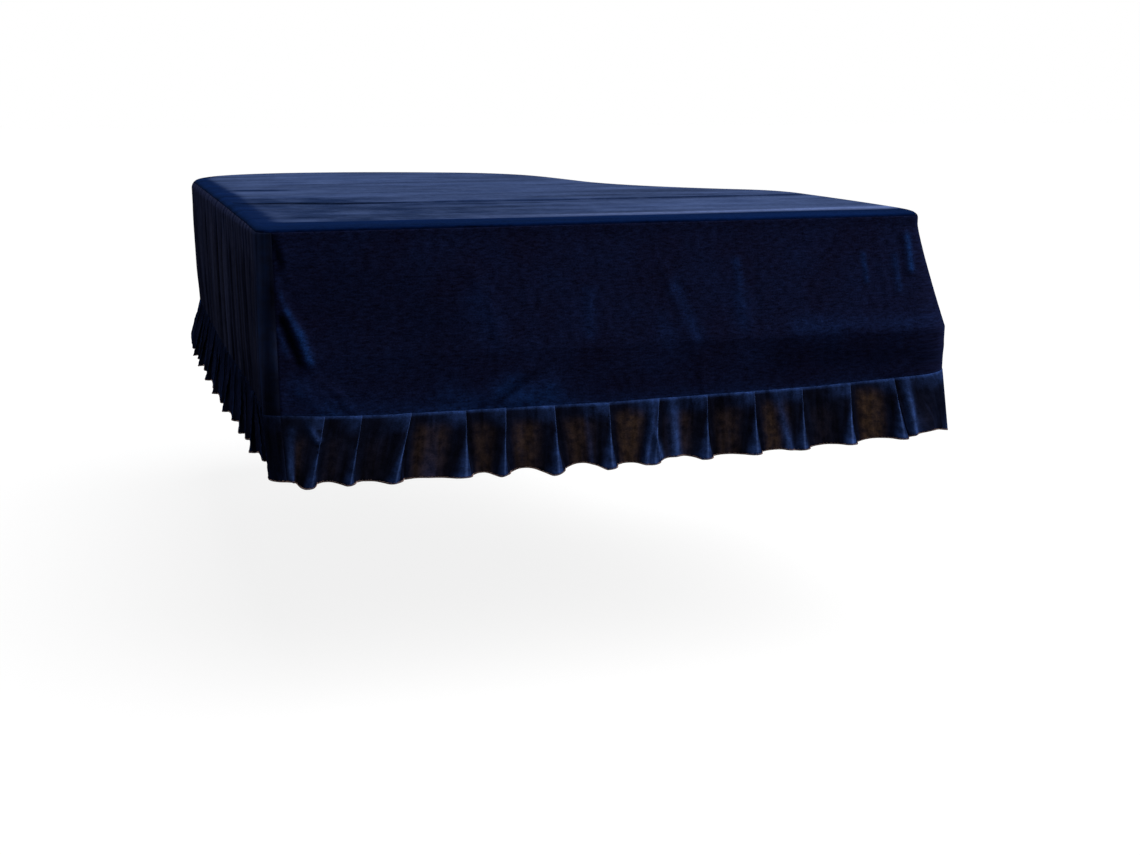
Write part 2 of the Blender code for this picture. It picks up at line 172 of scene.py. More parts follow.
FRONT_SHADE = (
    # x1, drop1, x2, drop2, width, share
    (34, 20, 44, 80, 8, 800),
    (42, 180, 74, 280, 7, 900),
    (484, 392, 566, 332, 4, 600),
    (1150, 310, 1520, 320, 22, 450),
    (150, 120, 350, 200, 70, 350),
)

# How much painted sheen lightens the left skirt towards the front corner, where little light falls, and from
# how far
CORNER_PAINTED_SHEEN = 0.80
CORNER_PAINTED_SHEEN_REACH = 0.16

# Over which share of the drop the gathers swell and the front's creases fade, and the length over which they
# fade at a panel's ends
GATHER_SWELL = 0.35
GATHER_END_FADE = 0.02
CREASE_FADE = 0.04
CREASE_END_FADE = 0.012

# The finer gathers: how many there are to a gather, their depth and how far they wander
FINE_GATHERS = 3.1
FINE_DEPTH = 0.0015
FINE_WANDER = 0.010

# Rows of a skirt's mesh: on the rolled edge, and below it on the skirts that show and on the others
ROLL_ROWS = 7
NEAR_ROWS = 76
FAR_ROWS = 46

# Uneven waves: height, seed, to which a panel's own may be added, ranges of the wave numbers across and down
# the cloth, and how many are summed
WAVES = {
    "front sag": (0.0006, 21, (2, 6), (1, 5), 9),
    "front crush": (0.00025, 22, (10, 30), (4, 14), 12),
    "streaks": (0.00035, 60, (38, 80), (0, 1.2), 10),
    "painted_sheen_and_blue_pile": (1, 71, (9, 26), (0, 0.5), 9),
    # Random dark streaks on the side skirts: painted shade of fine folds
    "dark": (1.25, 72, (7, 20), (0, 0.4), 7),
    "corner": (0.6, 74, (30, 60), (0, 0.6), 7),
    "ruffle folds": (0.0009, 80, (4, 14), (5, 24), 10),
    "wrinkles": (0.0010, 85, (8, 30), (35, 70), 10),
    "puckers": (0.0004, 90, (90, 140), (0, 4), 8),
    "top": (0.0006, 31, (0.5, 2.5), (1, 5), 9),
    "top crush": (0.00022, 32, (4, 11), (8, 20), 12),
    "top streaks": (0.12, 73, (0.3, 1.0), (4, 12), 7),
}

# One knife pleat of the ruffle, from under the one before it to under the next: along as a share of the
# pitch and out in metres, at the seam and at the hem
PLEAT = (
    # along at seam, out at seam, along at hem, out at hem, how much lower the hem hangs
    (0.00, 0.0010, 0.12, -0.005, 0),
    (0.22, 0.0012, 0.27, -0.008, -0.003),
    (0.50, 0.0018, 0.48, -0.006, -0.002),
    (0.78, 0.0026, 0.68, 0.001, 0.005),
    (0.94, 0.0034, 0.82, 0.010, 0.009),
    (1.00, 0.0032, 0.92, 0.016, 0.007),
    (0.97, 0.0020, 1.00, 0.016, 0.004),
    (0.86, 0.0014, 1.06, 0.010, 0.002),
    (0.80, 0.0010, 1.09, 0.003, 0.001),
    (0.88, 0.0006, 1.10, -0.002, 0),
)
NEXT_PLEAT = (1, 0, 1, 0, 0)
PLEAT_COLUMNS = 40

# How much of a pleat, by its columns, is its flat
FLAT_SHARE = 0.42
RUFFLE_ROWS = 24
PLEAT_FADE = 0.045
PLEAT_OPENING = 1.35

# The upper edge of a ruffle is sewn onto the skirt: how far it reaches over it, and how flat its edge lies
SEAM_OVERLAP = 0.0030
SEAM_EDGE_OUT = 0.0004

# The front pleats from left to right, in thousandths: width, how far the folded edge's hem swings beyond the
# sway, the flare's depth, how strong the painted warm reflection on its flat is, how far the flat is raised
# and how low the flare hangs
FRONT_PLEATS = (
    # width, swing, depth, painted reflection, raised, hang
    (90, -2, 1000, 300, -4, 800),
    (78, -4, 750, 120, 2, 600),
    (105, -16, 1100, 80, 0, 400),
    (118, 18, 800, 800, 0, 400),
    (89, 2, 800, 650, 1, 900),
    (109, 9, 1150, 600, 3, 1000),
    (126, 2, 1050, 600, 7, 700),
    (118, -18, 1000, 900, 0, 500),
    (115, -6, 900, 500, 7, 400),
    (115, -3, 1100, 500, 0, 200),
    (119, -2, 700, 750, 1, 400),
    (121, -6, 1050, 120, 2, 150),
    (110, 15, 1150, 1000, 3, 150),
    (98, 0, 800, 50, 9, 0),
)

# The other ruffles: how deep their flares are, how much every other one is deeper, how strong the painted
# warm reflection on their flats is and how uneven their widths
RUFFLES = {
    # depth, paired, painted reflection, uneven
    "right": (0.85, 0.10, 0.45, 0.15),
    "tail": (0.80, 0.10, 0.40, 0.15),
    "left": (0.56, 0.55, 0.12, 0.40),
}

# How high a ridge is where its painted highlight is full
RIDGE_FULL = 0.008

# How strong the painted sheen and highlights of the left ruffle are, how strong at the left end of the front
# one and how far that reaches, and how much of its painted blue a ruffle keeps where that strength is 0
LEFT_HIGHLIGHT_STRENGTH = 0.25
END_HIGHLIGHT_STRENGTH = 0.35
HIGHLIGHT_STRENGTH_REACH = 0.14
FAINT_HIGHLIGHT = 0.45

# How far the ruffle bulges out at the back of the left side and hangs lower at the front's right corner, and
# how far along the outline each reaches
BACK_BULGE = 0.009
BACK_BULGE_REACH = 0.14
CORNER_LOWERED = 0.013
CORNER_LOWERED_REACH = 0.05

# Ridges on the flats of the front ruffle, in thousandths: from and to as x and the share of the ruffle's
# height, the width and the height of each
RUFFLE_RIDGES = (
    # x1, share1, x2, share2, width, height
    (692, 0, 692, 1000, 4, 4),
    (895, 0, 908, 1000, 9, 11),
    (850, 200, 830, 1000, 6, 9),
    (850, 400, 874, 920, 5, 9),
    (1147, 0, 1170, 1000, 8, 9),
    (1474, 0, 1472, 1000, 9, 12),
    (84, 50, 112, 320, 6, 8),
    (50, 200, 45, 1000, 7, 12),
    (352, 0, 356, 1000, 10, 3),
)

# Grid of the top, closer across the groove: shares of the way from the front to the tail, with the rows up
# to each. Then the groove as x and y, and a short crease and its shade as rows like the front panel's.
TOP_COLUMNS = 121
TOP_ROWS = ((0.00, 0), (0.27, 46), (0.41, 110), (1.00, 104))
GROOVE = ((0.020, 0.772), (0.258, 0.701), (0.798, 0.667), (1.404, 0.663), (1.580, 0.672))
GROOVE_WIDTH = 0.007
GROOVE_DEPTH = 0.0050
SHORT_CREASE = (85, 1316, 190, 1284, 10, -2)
SHORT_CREASE_SHADE = (85, 1316, 190, 1284, 28, 1000)
SHOULDER_STEPS = 8
TOP_SINKS = 0.0003

# The cloth also sinks a little before the groove, and all of this fades towards the edge of the top
LIP_DEPTH = 0.0012
LIP_BEFORE = 0.022
LIP_WIDTH = 0.014
TOP_EDGE_FADE = 0.03

# How far the top bends down towards its front edge before it rolls over
FRONT_BEND = 0.0040
FRONT_BEND_REACH = 0.050

# The painted sheen along the front edge of the top, a blue band: how deep it is at its two ends and along
# the left edge, how soft its own edge is, how blue it is at the left, and the mark of full painted sheen
FRONT_BAND_LEFT = 0.150
FRONT_BAND_RIGHT = 0.110
LEFT_BAND = 0.060
BAND_EDGE = 0.024
BAND_SHEEN = 0.85
FULL_SHEEN = 2.0

# How dark the top is painted, on the patch of painted shade behind the groove and at most. How far behind
# the blue band its painted highlight line lies and how far behind the groove its painted shade, how wide
# both are and how black that painted shade is.
TOP_DARK = 0.45
PATCH_SHADE = 1.7
DARKEST = 1.3
LINE_BEHIND = 0.055
LINE_WIDTH = 0.030
SHADE_BEHIND = 0.010
SHADE_WIDTH = 0.026
GROOVE_SHADE = 0.42

# Painted shade on the lower part of the rolled edge: how dark, the drop where it starts and the drop over
# which it grows
ROLL_SHADE = 0.36
ROLL_SHADE_FROM = 0.003
ROLL_SHADE_REACH = 0.004

# Overlocked hem: length of a stitch, its height on the cloth and the radius of the thread
STITCH = 0.0032
STITCH_HEIGHT = 0.0032
THREAD = 0.00042
THREAD_SIDES = 4

# The velvets: colours of the plain pile and of its marks, where the blue mark paints sheen and highlights
# and marks bluer pile, the brown mark paints shade on the top and skirts and a warm reflection on the
# ruffle's flats, and the light mark paints highlights; weight, roughness and tint of the sheen; how close
# the streaks lie along and down the cloth and how dark they are; how blue the plain pile turns in clouds;
# how dark its fine grain is;
# and how much of the painted shade and reflection is left where the pile is crushed
VELVETS = {
    # The top's plain pile is painted far lighter than the skirts': painted sheen of the flat top
    "top": {
        "dark": (0.092, 0.138, 0.302), "painted_sheen_and_blue_pile": (0.002, 0.011, 0.062), "painted_shade_and_reflection": (0.0125, 0.0245, 0.074),
        "light": (0.24, 0.33, 0.70), "sheen": (0.04, 0.45, (0.12, 0.30, 0.90)),
        "streaks": (1.3, 8, 1), "streak_depth": 0.60, "clouds": 0.35,
    },
    "skirt": {
        "dark": (0.005, 0.0046, 0.015), "painted_sheen_and_blue_pile": (0.006, 0.026, 0.11), "painted_shade_and_reflection": (0.001, 0.0012, 0.0036),
        "sheen": (0.20, 0.35, (0.10, 0.15, 0.50)),
        "streaks": (45, 3, 1), "streak_depth": 0.17, "clouds": 0.35,
    },
    "front skirt": {
        "dark": (0.0068, 0.0062, 0.0204), "painted_sheen_and_blue_pile": (0.0082, 0.0354, 0.15), "painted_shade_and_reflection": (0.0012, 0.0014, 0.0042),
        "sheen": (0.20, 0.35, (0.10, 0.15, 0.50)),
        "streaks": (60, 190, 1), "streak_depth": 0.34, "clouds": 0.26, "grain": 0.34,
    },
    # The left skirt's plain pile is painted lighter and greyer than the front's, for the light its side
    # lacks
    "left skirt": {
        "dark": (0.028, 0.030, 0.056), "painted_sheen_and_blue_pile": (0.009, 0.024, 0.084), "painted_shade_and_reflection": (0.0026, 0.0028, 0.0066),
        "sheen": (0.12, 0.35, (0.12, 0.17, 0.50)),
        "streaks": (60, 2.5, 1), "streak_depth": 0.65, "clouds": 0.25,
    },
    "ruffle": {
        "dark": (0.0042, 0.004, 0.0074), "painted_sheen_and_blue_pile": (0.034, 0.08, 0.28), "painted_shade_and_reflection": (0.073, 0.043, 0.027),
        "light": (0.11, 0.19, 0.48), "sheen": (0.12, 0.35, (0.08, 0.16, 0.55)),
        "streaks": (60, 8, 1), "streak_depth": 0.45, "clouds": 0.09, "grain": 0.25, "blotch": 0.40,
    },
}

# Noise in the cloth and the thread, as waves a metre and detail
PATCHES = (9.0, 5.0)
STREAKS = (1.0, 4.0)
CRUSH = (55.0, 4.0)
GRAIN = (230.0, 3.0)
PILE = (900.0, 2.0)
TWIST = (700.0, 2.0)

# Points on an arc of the outline, and half the chord that gives its direction
SAMPLES_PER_ARC = 80
CHORD = 0.004

# The camera of the photograph
CAMERA_PLACE = (-1.081, -4.065, 0.2665)
CAMERA_FORWARD = (0.2957, 0.9307, -0.2157)
CAMERA_LENS = 47.46
CAMERA_SENSOR = 36.0
CAMERA_SEES = 200.0

# The stage: a soft light from high on the right, and a pale floor that glows and how far it goes
SUN_FROM = (0.55, -0.35, 1.0)
SUN_WIDTH = 70.0
SUN_STRENGTH = 3.6
FLOOR_LOOK = {
    "Base Color": (0.15, 0.15, 0.15, 1.0),
    "Roughness": 0.9,
    "Specular IOR Level": 0.0,
    "Emission Color": (1.0, 1.0, 1.0, 1.0),
    "Emission Strength": 0.85,
}
FLOOR_REACH = 60.0

# The world: the colour and strength of its light, and what is seen of it
WORLD_LIGHT = ((0.80, 0.86, 1.0), 0.10)
WORLD_SEEN = ((1.0, 1.0, 1.0), 1.0)

# Soft area lights
AREA_LIGHTS = (
    # name, place, aim, size, watts, colour
    ("front right", (3.6, -3.6, 1.4), (0.1, -0.8, -0.3), (2.5, 2.5), 90.0, (1.0, 0.97, 0.93)),
    ("left", (-4.4, 0.0, 0.8), (-0.76, 0.2, -0.3), (3.2, 2.2), 45.0, (1.0, 0.98, 0.95)),
    ("tail", (1.5, 5.5, 2.2), (0.0, 0.6, -0.2), (3.5, 2.5), 90.0, (0.96, 0.98, 1.0)),
)


def smooth(t):
    t = np.clip(t, 0, 1)
    return t * t * (3 - 2 * t)


def between(value, start, end, fade):
    """1 between start and end, fading to 0 over a length inside each of them."""
    return smooth((value - start) / fade) * smooth((end - value) / fade)


def hump(distance, reach):
    """A soft hump from 0 to 1 round the places where the distance is 0."""
    return np.exp(-((distance / reach) ** 2))


def rgba(colour):
    return (*colour, 1.0)


def running(steps):
    """The running length at the start and after each step."""
    return np.concatenate([[0.0], np.cumsum(steps)])


def at_run(s, run, points):
    """Points at the running lengths s of a path whose own points lie at run."""
    return np.stack([np.interp(s, run, column) for column in points.T], axis=-1)


def arc_points(start, end):
    """Points of a Bezier arc from one row of the outline to the next, without its last point."""
    turn = math.radians((end[HEADING] - start[HEADING] + 180) % 360 - 180)
    chord = math.hypot(end[X] - start[X], end[Y] - start[Y])
    handle = chord / 3
    if abs(turn) > 1e-6:
        handle = chord * 2 / 3 * math.tan(turn / 4) / math.sin(turn / 2)
    a = np.array((start[X], start[Y]))
    d = np.array((end[X], end[Y]))
    leave = math.radians(start[HEADING])
    arrive = math.radians(end[HEADING])
    b = a + handle * np.array((math.cos(leave), math.sin(leave)))
    c = d - handle * np.array((math.cos(arrive), math.sin(arrive)))
    t = np.linspace(0, 1, SAMPLES_PER_ARC, endpoint=False)[:, None]
    return (1 - t) ** 3 * a + 3 * t * (1 - t) ** 2 * b + 3 * t * t * (1 - t) * c + t**3 * d


class Outline:
    """The closed outline by its running length."""

    def __init__(self):
        closed = OUTLINE + OUTLINE[:1]
        arcs = [arc_points(a, b) for a, b in zip(closed, closed[1:])]
        points = np.concatenate(arcs + [arcs[0][:1]])
        self.points = points
        self.run = running(np.hypot(*np.diff(points, axis=0).T))
        self.length = self.run[-1]
        self.places = {row[PLACE]: self.run[i * SAMPLES_PER_ARC] for i, row in enumerate(OUTLINE)}
        self.knots = np.array([*self.places.values(), self.length])

    def at(self, s):
        """Points of the outline, x from the left side and y from the front."""
        return at_run(np.mod(s, self.length), self.run, self.points)

    def outward(self, s):
        """Unit vectors out of the outline."""
        along = self.at(np.asarray(s) + CHORD) - self.at(np.asarray(s) - CHORD)
        along /= np.linalg.norm(along, axis=-1, keepdims=True)
        return np.stack([along[..., 1], -along[..., 0]], axis=-1)

    def straight_value(self, column, s):
        """A column of the table at running length s, in straight runs from one row to the next."""
        values = [row[column] for row in OUTLINE + OUTLINE[:1]]
        return np.interp(np.mod(s, self.length), self.knots, values)

    def value(self, column, s):
        """A column of the table at running length s, eased from one row to the next."""
        values = np.array([row[column] for row in OUTLINE + OUTLINE[:1]])
        return eased(np.mod(s, self.length), self.knots, values)

    def span(self, first, last):
        """The running lengths at which a panel starts and ends; the end may pass the outline's start."""
        start = self.places[first]
        end = self.places[last]
        return start, end if end > start else end + self.length


def in_part_frame(xy, drop):
    """Points of the part from x, y and the drop below the upper face of the top."""
    drop = np.broadcast_to(drop, xy.shape[:-1])
    return np.stack([xy[..., 0] - ORIGIN_X, xy[..., 1] - ORIGIN_Y, SHEET - drop], axis=-1)


def rolled_in(outline, s, drop):
    """How far the rolled edge lies inside the outline at a drop."""
    radius = outline.value(SHOULDER, s)
    return radius * (1 - np.sqrt(1 - np.clip(1 - drop / radius, 0, 1) ** 2))


def lean(outline, s, drop):
    """How far the skirt stands out from the outline at a drop."""
    ridge = outline.value(RIDGE, s)
    seam = outline.value(SEAM, s)
    seam_drop = outline.straight_value(SEAM_DROP, s)
    above = ridge * np.clip((drop - SHOULDER_DROP) / (RIDGE_DROP - SHOULDER_DROP), 0, 1) ** 1.15
    below = smooth((drop - RIDGE_DROP) / (seam_drop - RIDGE_DROP))
    return above + (seam - ridge) * below


def eased(s, places, heights):
    """Heights between stations, level at each station."""
    index = np.clip(np.searchsorted(places, s, side="right") - 1, 0, len(places) - 2)
    share = smooth((s - places[index]) / (places[index + 1] - places[index]))
    return heights[index] * (1 - share) + heights[index + 1] * share


def gather_stations(start, end, pitch, seed):
    """Running lengths of the ridges and troughs of uneven gathers, with the height of each from -1 to 1."""
    draw = random.Random(seed)
    count = max(2, round((end - start) / pitch))
    widths = np.array([draw.uniform(0.7, 1.3) for _ in range(2 * count)])
    places = start + (end - start) * (running(widths) / widths.sum())
    heights = [draw.uniform(0.5, 1.0) * (1 if i % 2 else -1) for i in range(2 * count + 1)]
    heights[0] = 0.0
    heights[-1] = 0.0
    return places, np.array(heights)


def ridge_lines(rows, x, y):
    """The summed height of soft ridges and creases, each along a straight run, at places x, y."""
    total = np.zeros(np.broadcast(x, y).shape)
    for x1, y1, x2, y2, width, height in np.array(rows) / 1000:
        along = np.array((x2 - x1, y2 - y1))
        length = np.hypot(*along)
        along /= length
        run = (x - x1) * along[0] + (y - y1) * along[1]
        side = (x - x1) * along[1] - (y - y1) * along[0]
        past = np.maximum(0, np.maximum(-run, run - length))
        total += height * np.exp(-(side**2 + past**2) / (2 * width**2))
    return total


def waves(name, x, y, panel_seed=0, level=0):
    """Soft uneven waves of the table, over a level in multiples of their height."""
    height, seed, across, down, count = WAVES[name]
    draw = random.Random(panel_seed + seed)
    total = np.zeros(np.broadcast(x, y).shape)
    for _ in range(count):
        kx = 2 * math.pi * draw.uniform(*across)
        ky = 2 * math.pi * draw.uniform(*down) * draw.choice((-1, 1))
        total += np.sin(kx * x + ky * y + draw.uniform(0, 2 * math.pi))
    return height * (level + total / math.sqrt(count) / 1.6)


def grid_faces(rows, columns):
    a = (np.arange(rows - 1)[:, None] * columns + np.arange(columns - 1)[None, :]).ravel()
    return np.stack([a, a + columns, a + columns + 1, a + 1], axis=-1)


def add_mesh(name, points, faces, material, cloth=None, marks=None):
    """A smooth mesh. cloth is its place on the cloth in metres, as a UV map, and marks are point values."""
    mesh = bpy.data.meshes.new(name)
    mesh.from_pydata(points.tolist(), [], faces.tolist())
    if cloth is not None:
        corners = np.empty(len(mesh.loops), dtype=np.int32)
        mesh.loops.foreach_get("vertex_index", corners)
        layer = mesh.uv_layers.new(name="cloth")
        layer.data.foreach_set("uv", cloth[corners].astype(np.float32).ravel())
    for mark, values in (marks or {}).items():
        attribute = mesh.attributes.new(mark, "FLOAT", "POINT")
        attribute.data.foreach_set("value", values.astype(np.float32).ravel())
    mesh.update()
    mesh.shade_smooth()
    mesh.materials.append(material)
    return add_object(name, mesh)


def give_thickness(piece, thickness):
    """Cloth of that thickness behind the piece's outer face."""
    solidify = piece.modifiers.new("cloth thickness", "SOLIDIFY")
    solidify.thickness = thickness
    solidify.offset = -1.0
    solidify.use_rim = True


def skirt_relief(outline, s, drop, share, panel, start, end):
    """How far the folds of a skirt stand out from its hanging form."""
    name, _, _, pitch, depth, seed, _, _ = panel
    if name == "front":
        x = outline.at(s)[..., 0]
        folds = ridge_lines(FRONT_CREASES, x, drop) + waves("front sag", x, drop)
        folds = folds + waves("front crush", x, drop)
        return folds * between(s, start, end, CREASE_END_FADE) * between(share, 0, 1, CREASE_FADE)
    places, heights = gather_stations(start + 0.00015, end - 0.00015, pitch, seed)
    fold = depth * eased(s, places, heights) * smooth(share / GATHER_SWELL)
    places, heights = gather_stations(start, end, pitch / FINE_GATHERS, seed + 40)
    wander = FINE_WANDER * np.sin(7 * s + seed) * share
    fold = fold + FINE_DEPTH * eased(s + wander, places, heights) * smooth(share / 0.25)
    streaks = waves("streaks", s, drop, seed) * smooth(share / 0.15)
    return (fold + streaks) * between(s, start, end, GATHER_END_FADE)


def add_skirt(outline, panel, material):
    """One skirt panel, from the seam on the rolled edge to the ruffle's seam."""
    name, first, last, _, _, _, _, cell = panel
    start, end = outline.span(first, last)
    columns = round((end - start) / cell) + 1
    rows = NEAR_ROWS if name in ("front", "left") else FAR_ROWS
    s = np.linspace(start, end, columns)[None, :]
    low = outline.straight_value(SEAM_DROP, s)
    on_roll = np.linspace(0, 1, ROLL_ROWS, endpoint=False)[:, None]
    hanging = np.linspace(0, 1, rows)[:, None]
    rolled = (TOP_SEAM_DROP + SEAM_GAP) * (1 - on_roll) + SHOULDER_DROP * on_roll + np.zeros_like(low)
    hung = SHOULDER_DROP * (1 - hanging) + low * hanging
    drop = np.concatenate([rolled, hung])
    share = np.concatenate([np.zeros_like(on_roll), hanging])
    out = lean(outline, s, drop) + skirt_relief(outline, s, drop, share, panel, start, end)
    out = out - rolled_in(outline, s, drop)
    plan = outline.at(s) + outline.outward(s) * out[..., None]
    points = in_part_frame(plan, drop).reshape(-1, 3)
    cloth = np.stack(np.broadcast_arrays(s, -drop), axis=-1).reshape(-1, 2)
    marks = skirt_marks(outline, s, drop, low, name)
    faces = grid_faces(len(drop), columns)
    piece = add_mesh("skirt_" + name + "_velvet", points, faces, material, cloth, marks)
    give_thickness(piece, VELVET)
    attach(piece, "root")
    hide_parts("skirt_" + name)


def skirt_marks(outline, s, drop, low, name):
    """Where a skirt is painted bluer or darker: painted highlights by the seam and on creases, painted shade
    in creases and folds, painted sheen at the left corner, and random bluer pile.
    """
    # A painted highlight along the lower edge above the ruffle's seam
    painted_sheen_and_blue_pile = 0.60 * smooth(1 - (low - drop) / 0.007)
    if name == "front":
        x = outline.at(s)[..., 0]
        # Painted highlights on the upper flanks of the front's creases and bluer patches of pile; painted
        # shade in its creases and below its ridges
        painted_sheen_and_blue_pile = painted_sheen_and_blue_pile + ridge_lines(FRONT_HIGHLIGHT_AND_BLUE, x, drop)
        dark = ridge_lines(FRONT_SHADE, x, drop)
    else:
        # Random bluer streaks, painted shade of fine folds as random dark streaks, and darker towards the
        # bottom
        painted_sheen_and_blue_pile = painted_sheen_and_blue_pile + 0.22 * np.clip(waves("painted_sheen_and_blue_pile", s, drop), -1, 1)
        lower = 0.35 * smooth((drop - 0.20) / 0.15)
        dark = 0.45 + waves("dark", s, drop) + lower
    if name == "left":
        # Painted sheen towards the front corner, where little light falls, and a dark line right at the
        # corner
        from_corner = outline.length - s
        corner = smooth(1 - from_corner / CORNER_PAINTED_SHEEN_REACH)
        painted_sheen_and_blue_pile = painted_sheen_and_blue_pile + CORNER_PAINTED_SHEEN * corner * (1 + waves("corner", s, drop))
        dark = dark * (1 - 0.20 * corner) + 0.7 * hump(from_corner, 0.008)
    return {"painted_sheen_and_blue_pile": np.clip(painted_sheen_and_blue_pile, 0, 1), "painted_shade_and_reflection": np.clip(dark, 0, 1)}


def pleat_curve():
    """The pleat's table as a smooth curve with PLEAT_COLUMNS points, ending just before the next pleat."""
    table = np.array(PLEAT)
    following = table[:2] + np.array(NEXT_PLEAT)
    previous = table[-1:] - np.array(NEXT_PLEAT)
    knots = np.concatenate([previous, table, following])
    steps = np.linspace(0, len(table), PLEAT_COLUMNS, endpoint=False)
    index = steps.astype(int)
    t = (steps - index)[:, None]
    p0, p1, p2, p3 = (knots[index + k] for k in range(4))
    return 0.5 * (
        2 * p1 + (p2 - p0) * t + (2 * p0 - 5 * p1 + 4 * p2 - p3) * t * t + (3 * p1 - p0 - 3 * p2 + p3) * t**3
    )


def ruffle_pleats(name, seed, pleats):
    """The width, swing, depth, painted warm reflection, raised hem and hang of each pleat of a ruffle."""
    if name == "front":
        return np.array(FRONT_PLEATS).T / 1000
    deep, paired, reflection_level, uneven = RUFFLES[name]
    draw = random.Random(seed + 10)
    rows = []
    for i in range(pleats):
        width = draw.uniform(1 - uneven, 1 + uneven)
        swing = draw.uniform(-0.010, 0.010)
        depth = draw.uniform(0.75, 1.20) * deep * (1 + paired * (1 if i % 2 else -1))
        painted_shade_and_reflection = draw.uniform(0.3, 1.6) * reflection_level
        rows.append((width, swing, depth, painted_shade_and_reflection, draw.uniform(-0.002, 0.005), draw.uniform(0.2, 0.8)))
    return np.array(rows).T


def pleated_columns(pleats):
    """The columns of a ruffle: the pleat that each is on, how far it has travelled over it, and the values
    of the pleat's table. The last pleat is a plain flat."""
    curve = pleat_curve()
    travelled = np.arange(PLEAT_COLUMNS) / PLEAT_COLUMNS
    blocks = [np.column_stack([np.full(PLEAT_COLUMNS, i), travelled, curve]) for i in range(pleats - 1)]
    for i, block in enumerate(blocks):
        block[:, (2, 4)] += i
    last = np.zeros((PLEAT_COLUMNS + 1, 2 + len(PLEAT[0])))
    last[:, 0] = pleats - 1
    last[:, 1] = FLAT_SHARE * np.linspace(0, 1, PLEAT_COLUMNS + 1)
    last[:, 2] = pleats - 1 + np.linspace(0, 1, PLEAT_COLUMNS + 1)
    last[:, 3] = PLEAT[0][1]
    last[:, 4] = pleats - 1 + np.linspace(PLEAT[0][2], 1, PLEAT_COLUMNS + 1)
    blocks[0][0, 4] = 0.0
    return np.concatenate(blocks + [last]).T


def add_ruffle(outline, panel, material):
    """One knife-pleated strip, from just behind its seam to the hem."""
    name, first, last, _, _, seed, pleats, _ = panel
    start, end = outline.span(first, last)
    widths, swing, deep, pleat_reflection, raised, hang_share = ruffle_pleats(name, seed, pleats)
    edges = start + (end - start) * (running(widths) / widths.sum())
    pleat, travelled, along_seam, out_seam, along_hem, out_hem, hangs = pleated_columns(pleats)
    pleat = pleat.astype(int)
    depth = deep[pleat]
    numbers = np.arange(pleats + 1)
    s_seam = np.interp(along_seam, numbers, edges)[None, :]
    s_hem = np.interp(along_hem, numbers, edges)[None, :]
    share = np.concatenate([[0.0], np.linspace(0, 1, RUFFLE_ROWS)])[:, None]
    flat_middle = np.sin(math.pi * np.clip(travelled / FLAT_SHARE, 0, 1))
    opening = share**PLEAT_OPENING
    s = s_seam * (1 - opening) + s_hem * opening
    fade = between(s, start, end, PLEAT_FADE)
    fold = out_seam * (1 - opening) + out_hem * opening * depth * fade
    low = outline.straight_value(SEAM_DROP, s_seam)
    lower = hangs * hang_share[pleat] * depth * fade - raised[pleat] * flat_middle
    lower = lower + CORNER_LOWERED * bell(outline, s_seam, "right corner", CORNER_LOWERED_REACH)
    drop = low + (RUFFLE_HEIGHT + lower) * share - 0.5 * SEAM_OVERLAP * (1 - share)
    drop[0] = low - SEAM_OVERLAP
    turned = np.interp(s, edges, np.append(0.0, swing)) * share * fade
    swung = s + outline.value(SWAY, s) * share + turned
    hang = outline.value(SEAM, s) * (1 - share) + outline.value(HEM, s) * share
    ridges = ridge_lines_by_share(OUTLINE[0][X] + s, share) if name == "front" else np.zeros_like(s)
    gathers = skirt_relief(outline, s_seam, low, np.ones_like(s_seam), panel, start, end)
    hang = hang + gathers * smooth(1 - share / 0.6)
    bulge = BACK_BULGE * bell(outline, s, "left side back", BACK_BULGE_REACH) * np.sin(math.pi * share**1.8)
    out = hang + fold + bulge + ridges * fade + ruffle_relief(s, share, seed) * fade
    out[0] = hang[0] + SEAM_EDGE_OUT
    plan = outline.at(swung) + outline.outward(swung) * out[..., None]
    grid = in_part_frame(plan, drop)
    cloth_run = running(np.linalg.norm(np.diff(grid[len(grid) // 2], axis=0), axis=1))
    cloth = np.stack(np.broadcast_arrays(cloth_run[None, :], -drop), axis=-1).reshape(-1, 2)
    tone = highlight_strength(outline, s_seam, name)
    marks = ruffle_marks(travelled[None, :], share, depth[None, :], pleat_reflection[pleat][None, :], ridges, tone)
    faces = grid_faces(*drop.shape)
    piece = add_mesh("ruffle_" + name + "_velvet", grid.reshape(-1, 3), faces, material, cloth, marks)
    give_thickness(piece, RUFFLE_VELVET)
    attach(piece, "root")
    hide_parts("ruffle_" + name)
    return piece, grid, float(cloth_run[-1])


def bell(outline, s, place, reach):
    """A soft swell from 0 to 1 round a place of the outline."""
    away = np.mod(s - outline.places[place] + 0.5 * outline.length, outline.length) - 0.5 * outline.length
    return hump(away, reach)


def highlight_strength(outline, s, name):
    """How strong the painted sheen and highlights of a ruffle are: fainter at the left end of the front and
    on the left.
    """
    if name != "front":
        return np.full(s.shape, LEFT_HIGHLIGHT_STRENGTH if name == "left" else 1.0)
    from_left = s - outline.places["front left"]
    return END_HIGHLIGHT_STRENGTH + (1 - END_HIGHLIGHT_STRENGTH) * smooth(from_left / HIGHLIGHT_STRENGTH_REACH)


